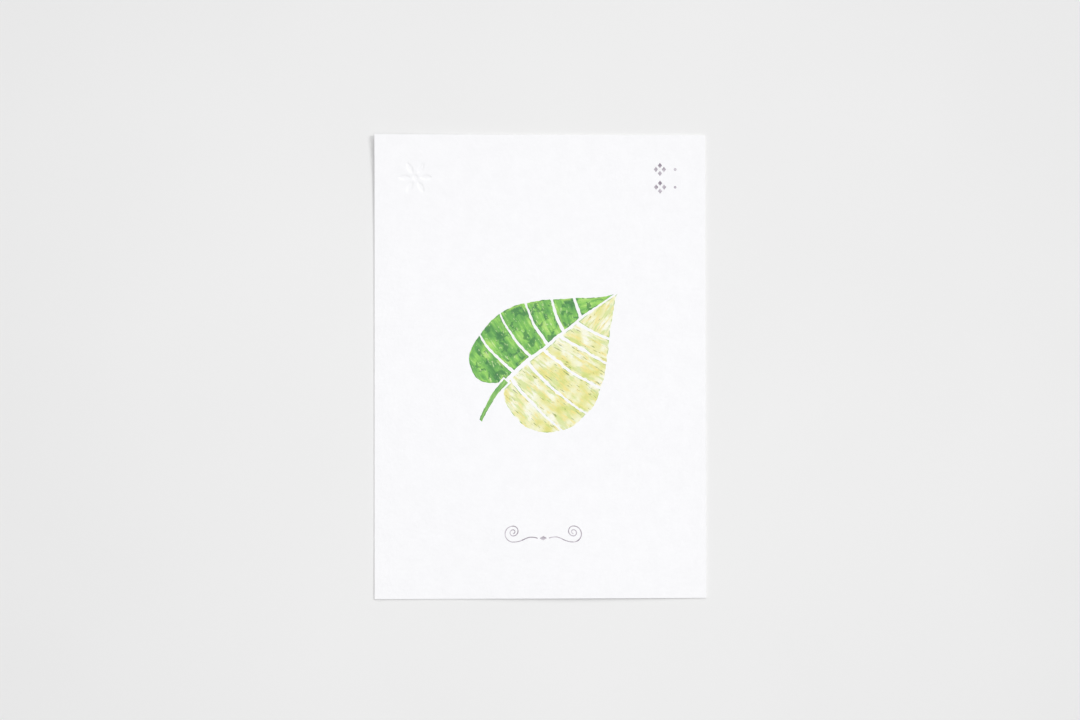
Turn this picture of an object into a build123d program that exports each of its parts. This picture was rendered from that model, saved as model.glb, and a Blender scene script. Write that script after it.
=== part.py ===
from build123d import *

import os

# A picture postcard, lying face up. Millimetres, +Z up.
# The origin is at the middle of the back face, +X to the card's right and +Y to its top.

# Card
CARD_WIDTH = 100.0
CARD_HEIGHT = 140.0
FACE_SHEET_THICKNESS = 0.21
CORE_SHEET_THICKNESS = 0.08
BACK_SHEET_THICKNESS = 0.11
PASTE_FILM_THICKNESS = 0.01
CUT_EDGE_ROLL = 0.04

# Print: ink soaks this far into the uncoated sheets and stays flush with them
INK_DEPTH = 0.02

# Blind pressed mark: a rosette pushed into the face sheet, measured from the upper left corner
MARK_LEFT_MARGIN = 12.3
MARK_TOP_MARGIN = 13.0
MARK_RADIUS = 5.2
MARK_PETALS = 6
MARK_PETAL_WIDTH = 1.7
MARK_EYE_RADIUS = 0.9
MARK_EYE_GAP = 0.45
MARK_DEPTH = 0.17
MARK_WALL_ANGLE = 60.0

# Picture: one broad heart-shaped leaf, painted as panels between unpainted veins
PICTURE_SHIFT = 1.1
PICTURE_RISE = 1.0
LEAF_TILT = -47.0
LEAF_LENGTH = 42.5
LEAF_SHADE_HALF_WIDTH = 16.5
LEAF_LIGHT_HALF_WIDTH = 24.0
LEAF_WIDEST_AT = 9.5
LEAF_LOBE_DROP = 9.5
LEAF_LOBE_SPREAD = 3.0
LEAF_SHOULDER_RISE = 13.0
LEAF_TIP_TAPER = 8.0
LEAF_TIP_SPREAD = 2.2
LEAF_BEND = 3.5
MIDRIB_WIDTH = 1.3
MIDRIB_TIP_WIDTH = 0.5
VEIN_WIDTH = 1.0
VEIN_TIP_WIDTH = 0.4
VEIN_FIRST_AT = 1.2
VEIN_STAGGER = 1.8
VEIN_PITCH = 6.4
VEIN_TIP_CLEARANCE = 10.0
VEIN_FIRST_SWEEP = 1.0
VEIN_SWEEP_GROWTH = 3.2
VEIN_DROOP = 2.6
VEIN_OVERRUN = 4.0
STALK_LENGTH = 14.0
STALK_WIDTH = 1.7
STALK_END_WIDTH = 1.0
STALK_CURVE = 3.5
STALK_GAP = 0.6

# Scroll ornament below the picture, measured from the bottom edge
SCROLL_SHIFT = 0.8
SCROLL_BOTTOM_MARGIN = 18.2
SCROLL_ARM = 7.4
SCROLL_WAVE = 1.2
SCROLL_DIP = 1.15
SCROLL_CURL_RADIUS = 2.4
SCROLL_CURL_SHRINK = 0.62
SCROLL_CURL_HALF_TURNS = 4
SCROLL_LINE_WIDTH = 0.3
SCROLL_LOZENGE_WIDTH = 2.2
SCROLL_LOZENGE_HEIGHT = 1.4
SCROLL_LOZENGE_GAP = 0.6

# Corner ornament: stacked fleurons of four lozenges with a dot beside each, from the upper right corner
FLEURONS = 2
FLEURON_RIGHT_MARGIN = 13.7
FLEURON_TOP_MARGIN = 10.4
FLEURON_PITCH = 5.4
FLEURON_SPREAD = 1.2
LOZENGE_WIDTH = 1.3
LOZENGE_HEIGHT = 1.65
FLEURON_DOT_RADIUS = 0.42
FLEURON_DOT_STEP = 4.6

# Writing side, read in landscape with the card's +Y as its length and +X as its upper edge
RULE_WIDTH = 0.3
DIVIDER_MARGIN = 10.0
ADDRESS_RULES = 4
ADDRESS_PITCH = 9.0
ADDRESS_BOTTOM_MARGIN = 14.0
ADDRESS_RIGHT_MARGIN = 8.0
ADDRESS_DIVIDER_GAP = 7.0
STAMP_WIDTH = 22.0
STAMP_HEIGHT = 26.0
STAMP_MARGIN = 7.0

# Heights of the stack, from the table up
BACK_TOP = BACK_SHEET_THICKNESS
REAR_PASTE_TOP = BACK_TOP + PASTE_FILM_THICKNESS
CORE_TOP = REAR_PASTE_TOP + CORE_SHEET_THICKNESS
FRONT_PASTE_TOP = CORE_TOP + PASTE_FILM_THICKNESS
CARD_TOP = FRONT_PASTE_TOP + FACE_SHEET_THICKNESS

UP = (0, 0, 1)
FULL_TURN = 360


def ply(bottom, top):
    """A full-size sheet between two heights."""
    return Pos(0, 0, bottom) * extrude(Rectangle(CARD_WIDTH, CARD_HEIGHT), top - bottom)


def soak(sketch, top):
    """Ink that fills the outline of a sketch down to the soaking depth below a height."""
    return Pos(0, 0, top - INK_DEPTH) * extrude(sketch, INK_DEPTH, dir=UP)


def strip(start, bend, end, start_width, end_width):
    """A tapering band along a quadratic curve, with its width measured square to its chord."""
    square = Vector(start.Y - end.Y, end.X - start.X).normalized()
    near = square * (start_width / 2)
    far = square * (end_width / 2)
    middle = (near + far) / 2
    left = Bezier(start + near, bend + middle, end + far)
    right = Bezier(start - near, bend - middle, end - far)
    return make_face([left, right, Line(left @ 0, right @ 0), Line(left @ 1, right @ 1)])


def lozenge(width, height):
    """A diamond standing on its point."""
    return make_face(Polyline((-width / 2, 0), (0, -height / 2), (width / 2, 0), (0, height / 2), close=True))


# Picture, in the leaf's own axes: base notch at the origin, tip along +Y

LEAF_TIP = Vector(LEAF_BEND, LEAF_LENGTH)
MIDRIB_MIDDLE = Vector(0, LEAF_LENGTH / 2)


def leaf_half(half_width):
    """One half of the leaf blade, right of the midrib, or left of it for a negative width."""
    side = half_width / abs(half_width)
    notch = Vector(0, 0)
    widest = Vector(half_width, LEAF_WIDEST_AT)
    inner_lobe = Vector(side * LEAF_LOBE_SPREAD, -LEAF_LOBE_DROP)
    outer_lobe = Vector(half_width, -LEAF_LOBE_DROP)
    shoulder = widest + Vector(0, LEAF_SHOULDER_RISE)
    near_tip = LEAF_TIP + Vector(side * LEAF_TIP_SPREAD, -LEAF_TIP_TAPER)
    lobe = Bezier(notch, inner_lobe, outer_lobe, widest)
    taper = Bezier(widest, shoulder, near_tip, LEAF_TIP)
    midline = Bezier(LEAF_TIP, MIDRIB_MIDDLE, notch)
    return make_face([lobe, taper, midline])


def midrib_gap():
    """The unpainted midrib, with a straight run that parts the two lobes below the notch."""
    parting = Rectangle(MIDRIB_WIDTH, 2 * LEAF_LOBE_DROP)
    return strip(Vector(0, 0), MIDRIB_MIDDLE, LEAF_TIP, MIDRIB_WIDTH, MIDRIB_TIP_WIDTH) + parting


def vein_gap(half_width, at, sweep):
    """An unpainted side vein that leaves the midrib at a height, droops and sweeps up past the margin."""
    root = Vector(LEAF_BEND * (at / LEAF_LENGTH) ** 2, at)
    side = half_width / abs(half_width)
    end = root + Vector(half_width + side * VEIN_OVERRUN, sweep)
    bend = (root + end) / 2 - Vector(0, VEIN_DROOP)
    return strip(root, bend, end, VEIN_WIDTH, VEIN_TIP_WIDTH)


def stalk(margin=0):
    """The leaf's stalk, a curved tapering stroke below the base notch, with a margin above and beside it."""
    top = Vector(0, -STALK_GAP)
    bend = top - Vector(0, STALK_LENGTH / 2)
    end = top + Vector(STALK_CURVE, -STALK_LENGTH)
    start = top + Vector(0, margin)
    return strip(start, bend, end, STALK_WIDTH + 2 * margin, STALK_END_WIDTH + 2 * margin)


def leaf_panels(half_width, first_at):
    """The painted panels of one half of the leaf, between as many veins as its length holds."""
    panels = leaf_half(half_width) - midrib_gap() - stalk(STALK_GAP)
    last = int((LEAF_LENGTH - first_at - VEIN_TIP_CLEARANCE) / VEIN_PITCH)
    for index in range(last + 1):
        sweep = VEIN_FIRST_SWEEP + index * VEIN_SWEEP_GROWTH
        panels -= vein_gap(half_width, first_at + index * VEIN_PITCH, sweep)
    return panels


def picture():
    """The picture's strokes by name, turned, with the middle of their joint box at the picture's place."""
    strokes = {
        "picture_shade_ink": leaf_panels(-LEAF_SHADE_HALF_WIDTH, VEIN_FIRST_AT + VEIN_STAGGER),
        "picture_light_ink": leaf_panels(LEAF_LIGHT_HALF_WIDTH, VEIN_FIRST_AT),
        "picture_stalk_ink": stalk(),
    }
    turned = {name: Rot(0, 0, LEAF_TILT) * stroke for name, stroke in strokes.items()}
    middle = Compound(list(turned.values())).bounding_box().center()
    place = Pos(PICTURE_SHIFT - middle.X, PICTURE_RISE - middle.Y)
    return {name: place * stroke for name, stroke in turned.items()}


# Ornaments on the picture side

def scroll_arm():
    """The right arm of the scroll: a shallow wave that curls up in half turns of shrinking radius."""
    start = Vector(SCROLL_LOZENGE_WIDTH / 2 + SCROLL_LOZENGE_GAP, 0)
    turn = start + Vector(SCROLL_ARM, -SCROLL_DIP)
    crest = start + Vector(SCROLL_ARM / 2, SCROLL_WAVE)
    trough = turn - Vector(SCROLL_ARM / 2, 0)
    lines = [Bezier(start, crest, trough, turn)]
    radius, up = SCROLL_CURL_RADIUS, 1
    for _ in range(SCROLL_CURL_HALF_TURNS):
        end = turn + Vector(0, 2 * radius * up)
        middle = turn + Vector(radius * up, radius * up)
        lines.append(ThreePointArc(turn, middle, end))
        turn, radius, up = end, radius * SCROLL_CURL_SHRINK, -up
    return trace(lines, SCROLL_LINE_WIDTH)


def scroll_ornament():
    """Two mirrored arms either side of a lozenge."""
    arm = scroll_arm()
    ornament = lozenge(SCROLL_LOZENGE_WIDTH, SCROLL_LOZENGE_HEIGHT) + arm + mirror(arm, Plane.YZ)
    return Pos(SCROLL_SHIFT, SCROLL_BOTTOM_MARGIN - CARD_HEIGHT / 2) * ornament


def fleuron():
    """Four lozenges round a centre, with a dot to their right."""
    steps = [(-FLEURON_SPREAD, 0), (FLEURON_SPREAD, 0), (0, -FLEURON_SPREAD), (0, FLEURON_SPREAD)]
    petals = [Pos(*step) * lozenge(LOZENGE_WIDTH, LOZENGE_HEIGHT) for step in steps]
    return Sketch() + petals + Pos(FLEURON_DOT_STEP, 0) * Circle(FLEURON_DOT_RADIUS)


def corner_ornament():
    """Fleurons one above the other in the upper right corner."""
    across = CARD_WIDTH / 2 - FLEURON_RIGHT_MARGIN
    upper = CARD_HEIGHT / 2 - FLEURON_TOP_MARGIN
    return Sketch() + [Pos(across, upper - index * FLEURON_PITCH) * fleuron() for index in range(FLEURONS)]


# Rules on the writing side

def divider_rule():
    """The rule between message and address."""
    return Rectangle(CARD_WIDTH - 2 * DIVIDER_MARGIN, RULE_WIDTH)


def address_rules():
    """Evenly spaced rules on the address half, ended by the card's margin and a gap to the divider."""
    near = ADDRESS_DIVIDER_GAP
    far = CARD_HEIGHT / 2 - ADDRESS_RIGHT_MARGIN
    lowest = ADDRESS_BOTTOM_MARGIN - CARD_WIDTH / 2
    rule = Rectangle(RULE_WIDTH, far - near)
    places = [Pos(lowest + index * ADDRESS_PITCH, (near + far) / 2) for index in range(ADDRESS_RULES)]
    return Sketch() + [place * rule for place in places]


def stamp_box():
    """The outline that a stamp covers, in the corner of the address half."""
    outer = Rectangle(STAMP_HEIGHT, STAMP_WIDTH)
    inner = Rectangle(STAMP_HEIGHT - 2 * RULE_WIDTH, STAMP_WIDTH - 2 * RULE_WIDTH)
    across = CARD_WIDTH / 2 - STAMP_MARGIN - STAMP_HEIGHT / 2
    along = CARD_HEIGHT / 2 - STAMP_MARGIN - STAMP_WIDTH / 2
    return Pos(across, along) * (outer - inner)


# Pressed mark

def mark_petal():
    """One lens-shaped petal between two arcs, pointing along +X from the eye to the rim."""
    near = MARK_EYE_RADIUS + MARK_EYE_GAP
    middle = (near + MARK_RADIUS) / 2
    upper = ThreePointArc((near, 0), (middle, MARK_PETAL_WIDTH / 2), (MARK_RADIUS, 0))
    lower = ThreePointArc((near, 0), (middle, -MARK_PETAL_WIDTH / 2), (MARK_RADIUS, 0))
    return make_face([upper, lower])


def pressed_mark():
    """The recesses that the die leaves: petals round an eye, with sloping walls."""
    turns = [index * FULL_TURN / MARK_PETALS for index in range(MARK_PETALS)]
    outlines = [Circle(MARK_EYE_RADIUS)] + [Rot(0, 0, turn) * mark_petal() for turn in turns]
    place = Pos(MARK_LEFT_MARGIN - CARD_WIDTH / 2, CARD_HEIGHT / 2 - MARK_TOP_MARGIN, CARD_TOP)
    return [place * extrude(outline, -MARK_DEPTH, taper=MARK_WALL_ANGLE) for outline in outlines]


def build():
    """Every piece of the card by name."""
    face_print = {
        **picture(),
        "scroll_ornament_ink": scroll_ornament(),
        "corner_ornament_ink": corner_ornament(),
    }
    back_print = {
        "divider_rule_ink": divider_rule(),
        "address_rules_ink": address_rules(),
        "stamp_box_ink": stamp_box(),
    }
    face_inks = {name: soak(sketch, CARD_TOP) for name, sketch in face_print.items()}
    back_inks = {name: soak(sketch, INK_DEPTH) for name, sketch in back_print.items()}

    face_sheet = ply(FRONT_PASTE_TOP, CARD_TOP)
    face_sheet = fillet(face_sheet.faces().sort_by(Axis.Z)[-1].edges(), CUT_EDGE_ROLL)
    face_sheet -= pressed_mark()
    face_sheet -= list(face_inks.values())
    return {
        "face_sheet": face_sheet,
        "front_paste_film": ply(CORE_TOP, FRONT_PASTE_TOP),
        "core_sheet": ply(REAR_PASTE_TOP, CORE_TOP),
        "rear_paste_film": ply(BACK_TOP, REAR_PASTE_TOP),
        "back_sheet": ply(0, BACK_TOP) - list(back_inks.values()),
        **face_inks,
        **back_inks,
    }


os.makedirs("parts", exist_ok=True)
for name, piece in build().items():
    export_step(piece, f"parts/{name}.step")
    print(name, "solids", len(piece.solids()), "volume", round(piece.volume, 3))
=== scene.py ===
import math

import bpy
import numpy as np
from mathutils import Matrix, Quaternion, Vector, kdtree, noise
from mathutils.bvhtree import BVHTree
from mathutils.geometry import delaunay_2d_cdt


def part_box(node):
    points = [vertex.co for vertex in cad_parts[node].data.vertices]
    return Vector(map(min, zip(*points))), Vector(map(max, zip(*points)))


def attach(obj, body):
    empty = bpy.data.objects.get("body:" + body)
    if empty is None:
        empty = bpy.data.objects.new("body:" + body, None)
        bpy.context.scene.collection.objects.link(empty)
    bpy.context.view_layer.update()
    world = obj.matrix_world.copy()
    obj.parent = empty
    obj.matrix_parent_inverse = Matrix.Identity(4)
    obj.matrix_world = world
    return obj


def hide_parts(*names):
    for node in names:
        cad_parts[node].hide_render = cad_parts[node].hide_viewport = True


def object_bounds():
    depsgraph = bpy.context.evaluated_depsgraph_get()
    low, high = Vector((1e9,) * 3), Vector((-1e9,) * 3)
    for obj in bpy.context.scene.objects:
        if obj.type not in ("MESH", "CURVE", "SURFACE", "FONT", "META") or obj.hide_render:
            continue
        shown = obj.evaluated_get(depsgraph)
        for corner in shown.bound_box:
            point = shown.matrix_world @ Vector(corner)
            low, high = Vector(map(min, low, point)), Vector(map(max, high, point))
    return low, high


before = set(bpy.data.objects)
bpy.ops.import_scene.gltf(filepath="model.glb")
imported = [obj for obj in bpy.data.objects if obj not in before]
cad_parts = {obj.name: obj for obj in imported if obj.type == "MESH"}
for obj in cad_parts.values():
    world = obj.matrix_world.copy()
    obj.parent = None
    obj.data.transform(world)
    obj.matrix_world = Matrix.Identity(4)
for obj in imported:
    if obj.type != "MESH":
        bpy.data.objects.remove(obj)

# A picture postcard that lies face up on a pale table, seen from above.
# Metres, in the frame of the solids: +X to the card's right, +Y to its top, +Z up.

MM = 0.001
UP, DOWN = 1, -1
cad_low, cad_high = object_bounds()

# How the card lies: a slight curl lifts its upper left corner, the middle of its foot and its lower left heel
CORNER_LIFT, CORNER_FADE = 1.60 * MM, 14 * MM
FOOT_LIFT, FOOT_REACH, FOOT_MIDDLE = 0.50 * MM, (46 * MM, 40 * MM), 11 * MM
HEEL_LIFT, HEEL_REACH = 0.12 * MM, (26 * MM, 24 * MM)

# Sheets: the step of their grid, and lines over the rim that the trimming knife rolled, at shares of its
# width. The last of those lines is on the flat, so that the rim's shading ends there.
SHEET_STEP = 2.5 * MM
RIM_ROLL = 0.04 * MM
RIM_SHARES = (0, 0.12, 0.35, 0.65, 1, 1.5)
CREASE_ANGLE = 50.0

# Pressed mark: the step of its fine grid, the border round it, the rounds of smoothing of its shoulders,
# and how many ink depths down the face counts as pressed
MARK_STEP = 0.1 * MM
MARK_BORDER = 0.6 * MM
MARK_SOFTENING = 4
MARK_FROM_INK_DEPTHS = 1.5

# Ink films: how far they stand out of the sheet and reach into it, how fine their meshes are,
# and how far a hand strays: lines sway over a long wave and their edges wobble over a short one
INK_PROUD = 0.006 * MM
INK_SUNK = 0.010 * MM
PAINT = {"step": 0.2 * MM, "fill": 0.4 * MM, "sway": 0.5 * MM, "wobble": 0.16 * MM}
PEN = {"step": 0.12 * MM, "fill": 0.25 * MM, "sway": 0.06 * MM, "wobble": 0.04 * MM}
SWAY_WAVE, WOBBLE_WAVE = 7.0 * MM, 1.1 * MM
SWAY_SEED = 7

# Meshing of the films: the least upright part of a normal on the shown side, the decimals that tell places
# apart, how far the filling keeps off the outline in shares of its spacing, and how near points are one point
SHOWN_NORMAL = 0.9
PLACE_DECIMALS = 7
FILL_CLEARANCE = 0.6
MERGE_DISTANCE_MM = 1e-6

# Baked looks: the shown side fills the map above a height, the hidden side and the walls have strips below
MAP_SHOWN_FROM, MAP_HIDDEN_TO, MAP_WALLS = 0.12, 0.08, (0.09, 0.11)

# Framing: the card's width, middle and turn in the photograph, and how far the view leans from straight down
PHOTO_SIZE = (1080, 720)
CARD_WIDTH_PX = 331.3
CARD_MIDDLE_PX = (540.4, 366.35)
CARD_TURN = 0.045
LEAN_LEFT, LEAN_DOWN = 2.10, 0.88
LENS, SENSOR = 85.0, 36.0

# Light: azimuth, elevation, distance, size and power of each soft lamp, and an even sky.
# The key comes from the right, a low fill from beyond the top, and the rest from above.
LAMPS = {
    "key": {"azimuth": 20.0, "elevation": 50.0, "distance": 8.0, "size": (3.3, 3.0), "power": 232.0},
    "fill": {"azimuth": 95.0, "elevation": 45.0, "distance": 8.0, "size": (5.3, 4.3), "power": 146.0},
    "panel": {"azimuth": -90.0, "elevation": 88.0, "distance": 0.35, "size": (0.20, 0.20), "power": 0.219},
}
SKY_STRENGTH, BACKDROP_STRENGTH = 0.425, 0.86
TABLE_SIZE, TABLE_GAP = 12.0, 0.02 * MM


def tint(red, green, blue):
    """A linear colour from 0 to 255 display values."""
    return tuple(((v / 255 + 0.055) / 1.055) ** 2.4 for v in (red, green, blue)) + (1.0,)


# Colours: pairs from dark to light for papers, paste and table and from light to dark for inks,
# and washes of paint as (position, colour) stops, from thin to thick
PICTURE_SIDE_WHITES = tint(250, 250, 252), tint(252, 252, 254)
MIDDLE_PLY_WHITES = tint(237, 237, 234), tint(243, 243, 240)
WRITING_SIDE_WHITES = tint(247, 247, 248), tint(250, 250, 251)
PASTE_CREAMS = tint(232, 229, 217), tint(240, 238, 228)
TABLE_GREYS = tint(238, 238, 238), tint(240, 240, 240)
ORNAMENT_PURPLES = tint(212, 206, 214), tint(148, 137, 150)
RULE_PURPLES = tint(190, 184, 193), tint(172, 165, 176)
SHADE_WASH = [
    (0.36, tint(190, 229, 134)), (0.44, tint(155, 214, 109)), (0.51, tint(129, 191, 102)),
    (0.59, tint(106, 168, 96)), (0.68, tint(90, 146, 88))]
SHADE_BLOOM, SHADE_FLECK = tint(82, 134, 88), tint(216, 237, 180)
SHADE_SUNLIT_RIM, SHADE_DARK_RIM = tint(174, 221, 114), tint(90, 146, 84)
LIGHT_WASH = [
    (0.37, tint(251, 251, 233)), (0.45, tint(246, 246, 210)), (0.53, tint(240, 239, 186)),
    (0.61, tint(234, 232, 159)), (0.70, tint(224, 223, 138))]
LIGHT_GLAZE, LIGHT_OCHRE, LIGHT_HAIR = tint(206, 222, 138), tint(245, 229, 148), tint(140, 156, 92)
LIGHT_PALE_RIM, LIGHT_GREEN_RIM = tint(252, 252, 240), tint(168, 200, 122)
STALK_WASH = [(0.35, tint(164, 211, 122)), (0.6, tint(120, 178, 101))]
STALK_DARK_RIM = tint(96, 150, 86)

# Paper's tooth: its depth, the share of the slow felt against the fibres, and its strength on paper and print
TOOTH_DEPTH = 0.06 * MM
FELT_SHARE = 1.2
PAPER_TOOTH, PRINT_TOOTH = 0.8, 0.7

# How far apart the patches of a film lie in the noise of its brush streaks
PATCH_SHIFT = 7.3


# Shape of the lying card

def ease(share):
    """A smooth step from 0 to 1."""
    share = np.clip(share, 0, 1)
    return share * share * (3 - 2 * share)


def swell(x_distance, y_distance, reach):
    """1 at a place, falling to 0 over a reach along each axis."""
    return ease(1 - x_distance / reach[0]) * ease(1 - y_distance / reach[1])


def lift(x, y):
    """How far the card's back stands off the table."""
    from_left, from_top, from_bottom = x - cad_low.x, cad_high.y - y, y - cad_low.y
    corner = CORNER_LIFT * np.exp(-(from_left + from_top) / CORNER_FADE)
    foot = FOOT_LIFT * swell(np.abs(x - FOOT_MIDDLE), from_bottom, FOOT_REACH)
    heel = HEEL_LIFT * swell(from_left, from_bottom, HEEL_REACH)
    return corner + foot + heel


def new_piece(name, vertices, faces):
    """A smooth-shaded mesh object with sharp edges where its faces meet steeply."""
    mesh = bpy.data.meshes.new(name)
    mesh.from_pydata(vertices.tolist(), [], faces)
    mesh.polygons.foreach_set("use_smooth", [True] * len(mesh.polygons))
    mesh.set_sharp_from_angle(angle=math.radians(CREASE_ANGLE))
    piece = bpy.data.objects.new(name, mesh)
    bpy.context.scene.collection.objects.link(piece)
    return piece


def closed_sheet(name, lower, upper, cells, walls, shown):
    """A closed thin piece from two layers of points, the cells of its upper layer and the walls of its rim.

    Its faces are the shown side, the hidden side and the walls, and its flat map gives each its own strip.
    The lower cells run the other way round from the same corner, so both layers fold along one diagonal.
    """
    count = len(lower)
    sides = [cells + count, np.roll(cells[:, ::-1], 1, axis=1)]
    if shown == DOWN:
        sides.reverse()
    points = np.concatenate([lower, upper])
    piece = new_piece(name, points, sides[0].tolist() + sides[1].tolist() + walls.tolist())
    flat = points[:, :2]
    spots = (flat - flat.min(0)) / np.ptp(flat, 0)
    front, rear = spots[sides[0].ravel()], spots[sides[1].ravel()]
    front[:, 1] = MAP_SHOWN_FROM + (1 - MAP_SHOWN_FROM) * front[:, 1]
    rear[:, 1] *= MAP_HIDDEN_TO
    start = np.arange(len(walls))[:, None] + np.array([0, 1, 1, 0])
    height = np.tile(np.repeat(MAP_WALLS, 2), (len(walls), 1))
    edge = np.stack([start / len(walls), height], -1).reshape(-1, 2)
    layer = piece.data.uv_layers.new(name="OFBake")
    layer.uv.foreach_set("vector", np.concatenate([front, rear, edge]).astype(np.float32).ravel())
    return piece


def dress(piece, node, material):
    """Makes a piece stand for a node of the solids: gives it a material, hangs it on the root body and hides
    the node's solid.
    """
    piece.data.materials.append(material)
    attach(piece, "root")
    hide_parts(node)


# Sheets

def grid_lines(low, high, fine=None):
    """Lines across a sheet: a few over each rolled rim, coarse ones between, and fine ones over a stretch."""
    rims = [share * RIM_ROLL for share in RIM_SHARES]
    lines = [low + r for r in rims] + [high - r for r in rims]
    lines += list(np.arange(low + SHEET_STEP, high - SHEET_STEP / 2, SHEET_STEP))
    if fine:
        lines = [v for v in lines if not fine[0] - MARK_STEP < v < fine[1] + MARK_STEP]
        lines += list(np.arange(fine[0], fine[1] + MARK_STEP / 2, MARK_STEP))
    return np.array(sorted(lines))


def slab(name, xs, ys, bottom, top, shown):
    """A closed sheet over a grid of lines, with its lower and upper heights at each crossing."""
    x, y = np.meshgrid(xs, ys)
    lower, upper = (np.stack([x, y, heights], -1).reshape(-1, 3) for heights in (bottom, top))
    index = np.arange(x.size).reshape(x.shape)
    cells = np.stack([index[:-1, :-1], index[:-1, 1:], index[1:, 1:], index[1:, :-1]], -1).reshape(-1, 4)
    rim = np.concatenate([index[0, :-1], index[:-1, -1], index[-1, :0:-1], index[:0:-1, 0]])
    after = np.roll(rim, -1)
    walls = np.stack([rim, after, after + x.size, rim + x.size], -1)
    return closed_sheet(name, lower, upper, cells, walls, shown)


def plain_sheet(node, material, shown=UP):
    """A ply or a paste film, curled with the card."""
    low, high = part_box(node)
    xs, ys = grid_lines(low.x, high.x), grid_lines(low.y, high.y)
    curl = lift(*np.meshgrid(xs, ys))
    dress(slab(node + "_card", xs, ys, low.z + curl, high.z + curl, shown), node, material)


def mark_box():
    """The corners of the pressed mark: the part of the face that lies deeper than the print."""
    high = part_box("face_sheet")[1]
    ink_low, ink_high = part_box("picture_stalk_ink")
    pressed_from = high.z - MARK_FROM_INK_DEPTHS * (ink_high.z - ink_low.z)
    places = np.array([v.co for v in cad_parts["face_sheet"].data.vertices])
    inner = (np.abs(places[:, 0]) < high.x - MARK_BORDER) & (np.abs(places[:, 1]) < high.y - MARK_BORDER)
    deep = places[inner & (places[:, 2] < pressed_from)]
    return deep.min(0) - MARK_BORDER, deep.max(0) + MARK_BORDER


def pressed_depth(xs, ys, corner, far_corner, top):
    """How deep the die pressed the face at each crossing, with shoulders that paper rounds off."""
    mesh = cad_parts["face_sheet"].data
    tree = BVHTree.FromPolygons([v.co for v in mesh.vertices], [p.vertices for p in mesh.polygons])
    depth = np.zeros((len(ys), len(xs)))
    for row, y in enumerate(ys):
        for column, x in enumerate(xs):
            if corner[0] < x < far_corner[0] and corner[1] < y < far_corner[1]:
                hit = tree.ray_cast(Vector((x, y, top + MM)), Vector((0, 0, -1)))[0]
                depth[row, column] = top - hit.z
    for _ in range(MARK_SOFTENING):
        for axis in (0, 1):
            depth = (np.roll(depth, 1, axis) + 2 * depth + np.roll(depth, -1, axis)) / 4
    return depth


def face_sheet(material):
    """The picture side's sheet, with its rolled rim and the pressed mark."""
    low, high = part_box("face_sheet")
    corner, far_corner = mark_box()
    xs = grid_lines(low.x, high.x, (corner[0], far_corner[0]))
    ys = grid_lines(low.y, high.y, (corner[1], far_corner[1]))
    x, y = np.meshgrid(xs, ys)
    inset = np.minimum(np.minimum(x - low.x, high.x - x), np.minimum(y - low.y, high.y - y))
    short = np.clip(RIM_ROLL - inset, 0, RIM_ROLL)
    roll = RIM_ROLL - np.sqrt(RIM_ROLL**2 - short**2)
    curl = lift(x, y)
    top = high.z + curl - roll - pressed_depth(xs, ys, corner, far_corner, high.z)
    dress(slab("face_sheet_card", xs, ys, low.z + curl, top, UP), "face_sheet", material)


# Ink films

def patch_loops(node, facing):
    """The loops of points round each printed patch of a node, on the side that shows."""
    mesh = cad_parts[node].data
    edges = set()
    for polygon in mesh.polygons:
        if polygon.normal.z * facing < SHOWN_NORMAL:
            continue
        corners = [tuple(round(c, PLACE_DECIMALS) for c in mesh.vertices[v].co.xy) for v in polygon.vertices]
        for edge in zip(corners, corners[1:] + corners[:1]):
            if edge[::-1] in edges:
                edges.remove(edge[::-1])
            else:
                edges.add(edge)
    following = dict(sorted(edges))
    loops = []
    while following:
        start, at = following.popitem()
        loop = [start]
        while at != start:
            loop.append(at)
            at = following.pop(at)
        loops.append(np.array(loop))
    return loops


def hand_drawn(loop, step, sway, wobble):
    """A loop with points about a step apart, which strays as a hand does and has a stroke's uneven edge."""
    runs = []
    for start, end in zip(loop, np.roll(loop, -1, 0)):
        count = max(1, math.ceil(np.linalg.norm(end - start) / step))
        runs.append(start + (end - start) * np.arange(count)[:, None] / count)
    points = np.concatenate(runs)
    along = np.roll(points, -1, 0) - np.roll(points, 1, 0)
    outward = np.stack([along[:, 1], -along[:, 0]], -1) / np.linalg.norm(along, axis=1, keepdims=True)
    strays = np.array([noise.noise_vector(Vector((x, y, 0)) / SWAY_WAVE).xy for x, y in points])
    frays = np.array([noise.noise(Vector((x, y, 0)) / WOBBLE_WAVE) for x, y in points])
    return points + sway * strays + wobble * outward * frays[:, None]


def inside(points, loops):
    """Which points lie inside an odd number of loops."""
    odd = np.zeros(len(points), bool)
    for loop in loops:
        for (x0, y0), (x1, y1) in zip(loop, np.roll(loop, -1, 0)):
            spans = (y0 > points[:, 1]) != (y1 > points[:, 1])
            if spans.any():
                odd ^= spans & (points[:, 0] < x0 + (points[:, 1] - y0) * (x1 - x0) / (y1 - y0))
    return odd


def filling(loops, tree, spacing):
    """Points in a close-packed grid inside loops, clear of the outline."""
    outline = np.concatenate(loops)
    low, high = outline.min(0), outline.max(0)
    row_spacing = spacing * math.sqrt(0.75)
    x, y = np.meshgrid(np.arange(low[0], high[0], spacing), np.arange(low[1], high[1], row_spacing))
    x[1::2] += spacing / 2
    grid = np.column_stack([x.ravel(), y.ravel()])
    grid = grid[inside(grid, loops)]
    clear = [tree.find((*place, 0))[2] > FILL_CLEARANCE * spacing for place in grid]
    return grid[np.array(clear, bool)]


def outline_edges(loops):
    """The edges round loops whose points are numbered one after another."""
    edges, first = [], 0
    for loop in loops:
        last = first + len(loop) - 1
        edges += [(i, i + 1) for i in range(first, last)] + [(last, first)]
        first = last + 1
    return edges


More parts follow.
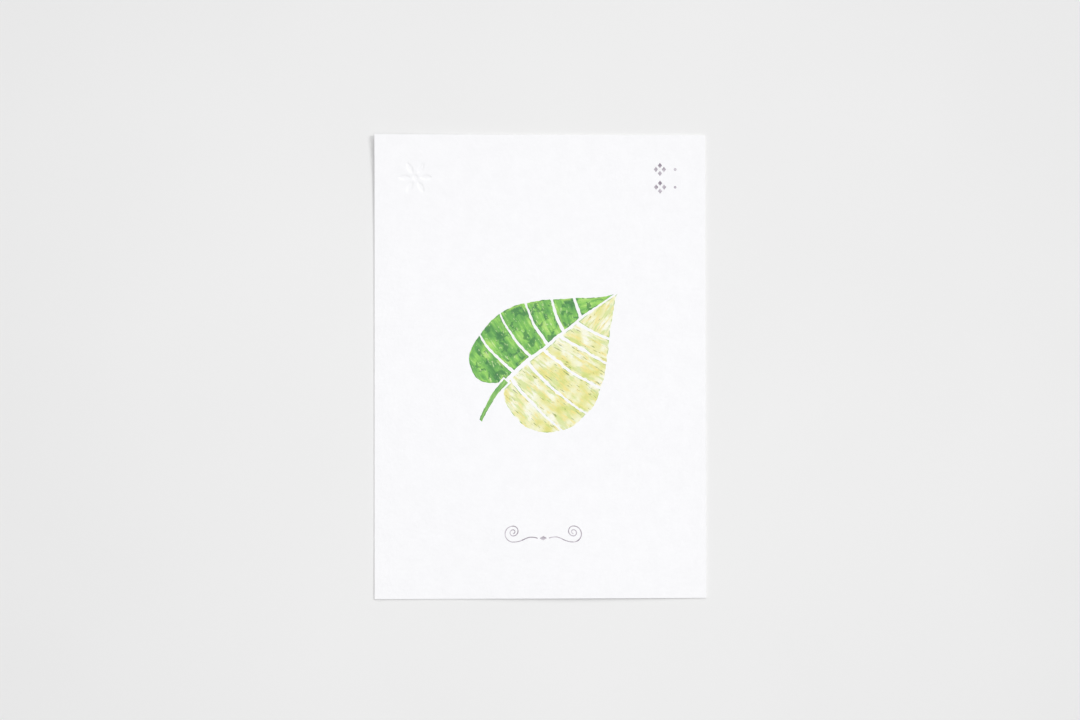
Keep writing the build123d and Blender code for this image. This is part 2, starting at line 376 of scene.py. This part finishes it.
def film(node, slot, material, facing, surface, step, fill, sway, wobble):
    """A thin closed film of ink over each printed patch of a node, on the curled sheet at a height."""
    loops = [hand_drawn(loop, step, sway, wobble) for loop in patch_loops(node, facing)]
    outline = np.concatenate(loops)
    tree = kdtree.KDTree(len(outline))
    for index, place in enumerate(outline):
        tree.insert((*place, 0), index)
    tree.balance()
    points = [Vector(p) / MM for p in np.concatenate([outline, filling(loops, tree, fill)])]
    made = delaunay_2d_cdt(points, outline_edges(loops), [], 0, MERGE_DISTANCE_MM)
    flat = np.array([tuple(v) for v in made[0]]) * MM
    cells = np.array(made[2])
    cells = cells[inside(flat[cells].mean(1), loops)]
    sides = set(map(tuple, np.concatenate([cells[:, [0, 1]], cells[:, [1, 2]], cells[:, [2, 0]]]).tolist()))
    rim = np.array([side for side in sorted(sides) if side[::-1] not in sides])
    walls = np.column_stack([rim, rim[:, ::-1] + len(flat)])
    height = surface + lift(flat[:, 0], flat[:, 1])
    lower = np.column_stack([flat, height - (INK_SUNK if facing == UP else INK_PROUD)])
    upper = np.column_stack([flat, height + (INK_PROUD if facing == UP else INK_SUNK)])
    piece = closed_sheet(node + "_film", lower, upper, cells, walls, facing)
    add_places(piece, flat, loops, tree)
    dress(piece, node, material)


def long_direction(loop):
    """The direction in which a loop is longest."""
    return np.linalg.eigh(np.cov((loop - loop.mean(0)).T))[1][:, -1]


def add_places(piece, flat, loops, tree):
    """Stores, for a film's points, the distance from the outline, the places along and across their patch,
    all in millimetres, and the patch's number."""
    owner = np.repeat(np.arange(len(loops)), [len(loop) for loop in loops])
    middles = np.array([loop.mean(0) for loop in loops])
    longways = np.array([long_direction(loop) for loop in loops])
    nearest = [tree.find((*place, 0)) for place in flat]
    patch = owner[[found[1] for found in nearest]]
    offset, longway = flat - middles[patch], longways[patch]
    values = {
        "edge": np.array([found[2] for found in nearest]) / MM,
        "along": (offset * longway).sum(1) / MM,
        "across": (offset[:, 1] * longway[:, 0] - offset[:, 0] * longway[:, 1]) / MM,
        "patch": patch,
    }
    for name, value in values.items():
        attribute = piece.data.attributes.new(name, "FLOAT", "POINT")
        attribute.data.foreach_set("value", np.tile(value, 2).astype(np.float32))


# Materials

class Look:
    """A matte material under construction, with short calls for the nodes that the looks share.

    Its places are in millimetres, so a noise's scale is in waves per millimetre.
    """

    def __init__(self, name, roughness=0.9, specular=0.2):
        self.material = bpy.data.materials.new(name)
        self.material.use_nodes = True
        self.tree = self.material.node_tree
        self.shader = self.tree.nodes["Principled BSDF"]
        self.shader.inputs["Roughness"].default_value = roughness
        self.shader.inputs["Specular IOR Level"].default_value = specular
        self.place = self.scaled(self.node("ShaderNodeTexCoord").outputs["Object"], 1 / MM)

    def node(self, kind, inputs=None, **settings):
        """A new node with its settings, and with links or values at its inputs."""
        node = self.tree.nodes.new(kind)
        for key, value in settings.items():
            setattr(node, key, value)
        for key, value in (inputs or {}).items():
            self.feed(node.inputs[key], value)
        return node

    def feed(self, socket, value):
        """Links a socket to another node's output, or sets its value."""
        if isinstance(value, bpy.types.NodeSocket):
            self.tree.links.new(value, socket)
        else:
            socket.default_value = value

    def scaled(self, vector, factor):
        """A vector times a factor."""
        return self.node("ShaderNodeVectorMath", {0: vector, "Scale": factor}, operation="SCALE").outputs[0]

    def value(self, name):
        """One of a film's stored places."""
        return self.node("ShaderNodeAttribute", attribute_name=name).outputs["Fac"]

    def math(self, operation, first, second):
        """A sum, product or quotient of two values."""
        return self.node("ShaderNodeMath", {0: first, 1: second}, operation=operation).outputs[0]

    def noise(self, vector, scale, detail=2.0, roughness=0.5, distortion=0.0):
        """A cloudy noise, from 0 to 1."""
        inputs = {"Vector": vector, "Scale": scale, "Detail": detail}
        inputs.update({"Roughness": roughness, "Distortion": distortion})
        return self.node("ShaderNodeTexNoise", inputs).outputs["Fac"]

    def span(self, value, low, high, to_low=0.0, to_high=1.0):
        """A smooth clamped run from one pair of values to another."""
        inputs = {"Value": value, "From Min": low, "From Max": high, "To Min": to_low, "To Max": to_high}
        return self.node("ShaderNodeMapRange", inputs, interpolation_type="SMOOTHSTEP").outputs["Result"]

    def shades(self, value, stops):
        """A colour ramp through (position, colour) stops."""
        node = self.node("ShaderNodeValToRGB", {"Fac": value})
        while len(node.color_ramp.elements) < len(stops):
            node.color_ramp.elements.new(0.5)
        for element, (position, colour) in zip(node.color_ramp.elements, stops):
            element.position, element.color = position, colour
        return node.outputs["Color"]

    def blend(self, value, colours, low, high):
        """A colour ramp between two colours, over a stretch of a value."""
        return self.shades(value, list(zip((low, high), colours)))

    def mix(self, share, first, second, blend="MIX"):
        """Two colours mixed by a share of the second."""
        node = self.node("ShaderNodeMix", data_type="RGBA", blend_type=blend)
        for socket, value in ((node.inputs[0], share), (node.inputs[6], first), (node.inputs[7], second)):
            self.feed(socket, value)
        return node.outputs[2]

    def tooth(self, strength):
        """The surface of uncoated paper: pressed fibres and a slower felt, its crests duller than hollows."""
        fibres = self.noise(self.place, scale=5.0, detail=4.0, roughness=0.6)
        felt = self.noise(self.place, scale=0.9)
        height = self.math("ADD", fibres, self.math("MULTIPLY", felt, FELT_SHARE))
        bump = self.node("ShaderNodeBump", {"Strength": strength, "Distance": TOOTH_DEPTH, "Height": height})
        self.feed(self.shader.inputs["Normal"], bump.outputs["Normal"])
        dullness = self.span(fibres, low=0.3, high=0.7, to_low=0.84, to_high=0.96)
        self.feed(self.shader.inputs["Roughness"], dullness)

    def finish(self, colour):
        """The material, with its colour."""
        self.feed(self.shader.inputs["Base Color"], colour)
        return self.material


def paper(name, whites):
    """Uncoated paper: faint cloudy formation between two whites, and tooth."""
    look = Look(name)
    cloud = look.noise(look.place, scale=0.22, detail=3.0, roughness=0.6)
    look.tooth(PAPER_TOOTH)
    return look.finish(look.blend(cloud, whites, low=0.35, high=0.65))


def paste():
    """A dried paste film: cream, a little smoother than paper, with faint streaks."""
    look = Look("dried_paste", roughness=0.55, specular=0.4)
    streaks = look.noise(look.place, scale=0.6)
    return look.finish(look.blend(streaks, PASTE_CREAMS, low=0.3, high=0.7))


def brush_streaks(look, length, width, seed):
    """Noise drawn out along each patch, like the hairs of a brush."""
    place = look.node("ShaderNodeCombineXYZ", {
        0: look.math("DIVIDE", look.value("along"), length),
        1: look.math("DIVIDE", look.value("across"), width),
        2: look.math("MULTIPLY", look.value("patch"), PATCH_SHIFT)})
    shifted = look.node("ShaderNodeVectorMath", {0: place.outputs[0], 1: (seed, seed, seed)}, operation="ADD")
    return look.noise(shifted.outputs[0], scale=1.0, detail=3.0, roughness=0.55)


def along_edges(look, width, scale, low, high):
    """1 along those stretches of an outline where a noise is high, falling to 0 over a width."""
    near = look.span(look.value("edge"), low=0.0, high=width, to_low=1.0, to_high=0.0)
    stretches = look.noise(look.place, scale=scale, detail=1.0)
    return look.math("MULTIPLY", near, look.span(stretches, low, high))


def grained(look, colour, amount):
    """Pigment that settled in the tooth of the paper."""
    grain = look.noise(look.place, scale=3.2, roughness=0.6)
    level = look.span(grain, low=0.3, high=0.7, to_low=1.0 - amount, to_high=1.0 + amount)
    grey = look.node("ShaderNodeCombineColor", {0: level, 1: level, 2: level}).outputs[0]
    return look.mix(1.0, colour, grey, blend="MULTIPLY")


def shade_paint():
    """The darker half of the leaf: wet green washes with dark blooms, pale flecks and uneven rims."""
    look = Look("shade_paint")
    streaks = brush_streaks(look, length=7.0, width=1.1, seed=0.0)
    cloud = look.noise(look.place, scale=0.17)
    wash = look.math("ADD", look.math("MULTIPLY", streaks, 0.45), look.math("MULTIPLY", cloud, 0.55))
    colour = look.shades(wash, SHADE_WASH)
    bloom = look.noise(look.place, scale=0.38, detail=4.0, roughness=0.55, distortion=0.5)
    colour = look.mix(look.span(bloom, low=0.54, high=0.59, to_high=0.75), colour, SHADE_BLOOM)
    flecks = brush_streaks(look, length=1.6, width=0.5, seed=31.0)
    colour = look.mix(look.span(flecks, low=0.61, high=0.67, to_high=0.7), colour, SHADE_FLECK)
    sunlit = along_edges(look, width=0.9, scale=0.2, low=0.5, high=0.6)
    colour = look.mix(sunlit, colour, SHADE_SUNLIT_RIM)
    dark = along_edges(look, width=0.45, scale=0.45, low=0.46, high=0.6)
    colour = look.mix(dark, colour, SHADE_DARK_RIM)
    look.tooth(PRINT_TOOTH)
    return look.finish(grained(look, colour, amount=0.05))


def light_paint():
    """The paler half of the leaf: thin yellow washes with green glazes, ochre, fine hairs and uneven rims."""
    look = Look("light_paint")
    cloud = look.noise(look.place, scale=0.2)
    colour = look.shades(cloud, LIGHT_WASH)
    glaze = brush_streaks(look, length=6.0, width=1.6, seed=3.0)
    colour = look.mix(look.span(glaze, low=0.49, high=0.60, to_high=0.65), colour, LIGHT_GLAZE)
    ochre = brush_streaks(look, length=4.0, width=0.8, seed=15.0)
    colour = look.mix(look.span(ochre, low=0.51, high=0.63, to_high=0.7), colour, LIGHT_OCHRE)
    hairs = brush_streaks(look, length=3.2, width=0.5, seed=9.0)
    colour = look.mix(look.span(hairs, low=0.62, high=0.68, to_high=0.75), colour, LIGHT_HAIR)
    pale = along_edges(look, width=0.5, scale=0.5, low=0.5, high=0.62)
    colour = look.mix(pale, colour, LIGHT_PALE_RIM)
    green = along_edges(look, width=0.4, scale=0.4, low=0.48, high=0.62)
    colour = look.mix(green, colour, LIGHT_GREEN_RIM)
    look.tooth(PRINT_TOOTH)
    return look.finish(grained(look, colour, amount=0.03))


def stalk_paint():
    """The stalk: one green stroke that darkens along its edges."""
    look = Look("stalk_paint")
    streaks = brush_streaks(look, length=5.0, width=0.6, seed=21.0)
    colour = look.shades(streaks, STALK_WASH)
    dark = along_edges(look, width=0.4, scale=0.45, low=0.4, high=0.6)
    colour = look.mix(dark, colour, STALK_DARK_RIM)
    look.tooth(PRINT_TOOTH)
    return look.finish(grained(look, colour, amount=0.05))


def pen_ink(name, purples):
    """Fine print in one ink that took unevenly."""
    look = Look(name)
    mottle = look.noise(look.place, scale=0.55, detail=3.0, roughness=0.6)
    look.tooth(PRINT_TOOTH)
    return look.finish(grained(look, look.blend(mottle, purples, low=0.35, high=0.65), amount=0.06))


# The card

def build_card():
    """Every piece of the card, in place of its solid."""
    noise.seed_set(SWAY_SEED)
    glue = paste()
    face_sheet(paper("picture_side_paper", PICTURE_SIDE_WHITES))
    plain_sheet("front_paste_film", glue)
    plain_sheet("core_sheet", paper("middle_ply_paper", MIDDLE_PLY_WHITES))
    plain_sheet("rear_paste_film", glue)
    plain_sheet("back_sheet", paper("writing_side_paper", WRITING_SIDE_WHITES), DOWN)

    face_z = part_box("face_sheet")[1].z
    back_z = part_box("back_sheet")[0].z
    film("picture_shade_ink", "green_ink", shade_paint(), UP, face_z, **PAINT)
    film("picture_light_ink", "yellow_green_ink", light_paint(), UP, face_z, **PAINT)
    film("picture_stalk_ink", "green_ink", stalk_paint(), UP, face_z, **PAINT)
    face_ink = pen_ink("ornament_ink", ORNAMENT_PURPLES)
    for node in ("scroll_ornament_ink", "corner_ornament_ink"):
        film(node, "purple_grey_ink", face_ink, UP, face_z, **PEN)
    back_ink = pen_ink("rule_ink", RULE_PURPLES)
    for node in ("divider_rule_ink", "address_rules_ink", "stamp_box_ink"):
        film(node, "purple_grey_ink", back_ink, DOWN, back_z, **PEN)


# The table, the light and the camera

def build_table():
    """A plain pale table top just under the card."""
    half = TABLE_SIZE / 2
    corners = [(x, y, -TABLE_GAP) for x, y in ((-half, -half), (half, -half), (half, half), (-half, half))]
    table = new_piece("table", np.array(corners), [(0, 1, 2, 3)])
    look = Look("table_top")
    cloud = look.noise(look.place, scale=0.01)
    table.data.materials.append(look.finish(look.blend(cloud, TABLE_GREYS, low=0.3, high=0.7)))


def add_lamp(name, azimuth, elevation, distance, size, power):
    """A flat lamp, a width and a height across, that points at the middle of the card."""
    turn, tilt = math.radians(azimuth), math.radians(elevation)
    away = Vector((math.cos(tilt) * math.cos(turn), math.cos(tilt) * math.sin(turn), math.sin(tilt)))
    lamp = bpy.data.lights.new(name, "AREA")
    lamp.shape = "RECTANGLE"
    lamp.size, lamp.size_y = size
    lamp.energy = power
    holder = bpy.data.objects.new(name, lamp)
    holder.location = away * distance
    holder.rotation_euler = (-away).to_track_quat("-Z", "Y").to_euler()
    holder.visible_camera = False
    bpy.context.scene.collection.objects.link(holder)


def add_sky():
    """An even sky, with a paler backdrop wherever it is seen, mirrored or seen through something."""
    world = bpy.data.worlds.new("sky")
    world.use_nodes = True
    tree = world.node_tree
    background = tree.nodes["Background"]
    background.inputs["Color"].default_value = (1, 1, 1, 1)
    rays = tree.nodes.new("ShaderNodeLightPath").outputs
    shown = rays["Is Camera Ray"]
    for kind in ("Is Glossy Ray", "Is Transmission Ray"):
        either = tree.nodes.new("ShaderNodeMath")
        either.operation = "MAXIMUM"
        tree.links.new(shown, either.inputs[0])
        tree.links.new(rays[kind], either.inputs[1])
        shown = either.outputs[0]
    strength = tree.nodes.new("ShaderNodeMapRange")
    strength.inputs["To Min"].default_value = SKY_STRENGTH
    strength.inputs["To Max"].default_value = BACKDROP_STRENGTH
    tree.links.new(shown, strength.inputs["Value"])
    tree.links.new(strength.outputs["Result"], background.inputs["Strength"])
    bpy.context.scene.world = world


def aim_camera():
    """A camera almost straight above, which frames the card as the photograph does."""
    pixel = (cad_high.x - cad_low.x) / CARD_WIDTH_PX
    across = (PHOTO_SIZE[0] / 2 - CARD_MIDDLE_PX[0]) * pixel
    along = (CARD_MIDDLE_PX[1] - PHOTO_SIZE[1] / 2) * pixel
    away = Vector((-math.tan(math.radians(LEAN_LEFT)), -math.tan(math.radians(LEAN_DOWN)), 1)).normalized()
    camera = bpy.data.cameras.new("camera")
    camera.lens, camera.sensor_width = LENS, SENSOR
    holder = bpy.data.objects.new("camera", camera)
    holder.location = Vector((across, along, cad_high.z)) + away * pixel * PHOTO_SIZE[0] * LENS / SENSOR
    turn = Quaternion((0, 0, 1), -math.radians(CARD_TURN))
    holder.rotation_euler = (Vector((0, 0, 1)).rotation_difference(away) @ turn).to_euler()
    bpy.context.scene.collection.objects.link(holder)
    bpy.context.scene.camera = holder


build_card()
build_table()
for lamp_name, lamp_settings in LAMPS.items():
    add_lamp(lamp_name, **lamp_settings)
add_sky()
aim_camera()
bpy.context.scene.view_settings.view_transform = "Standard"
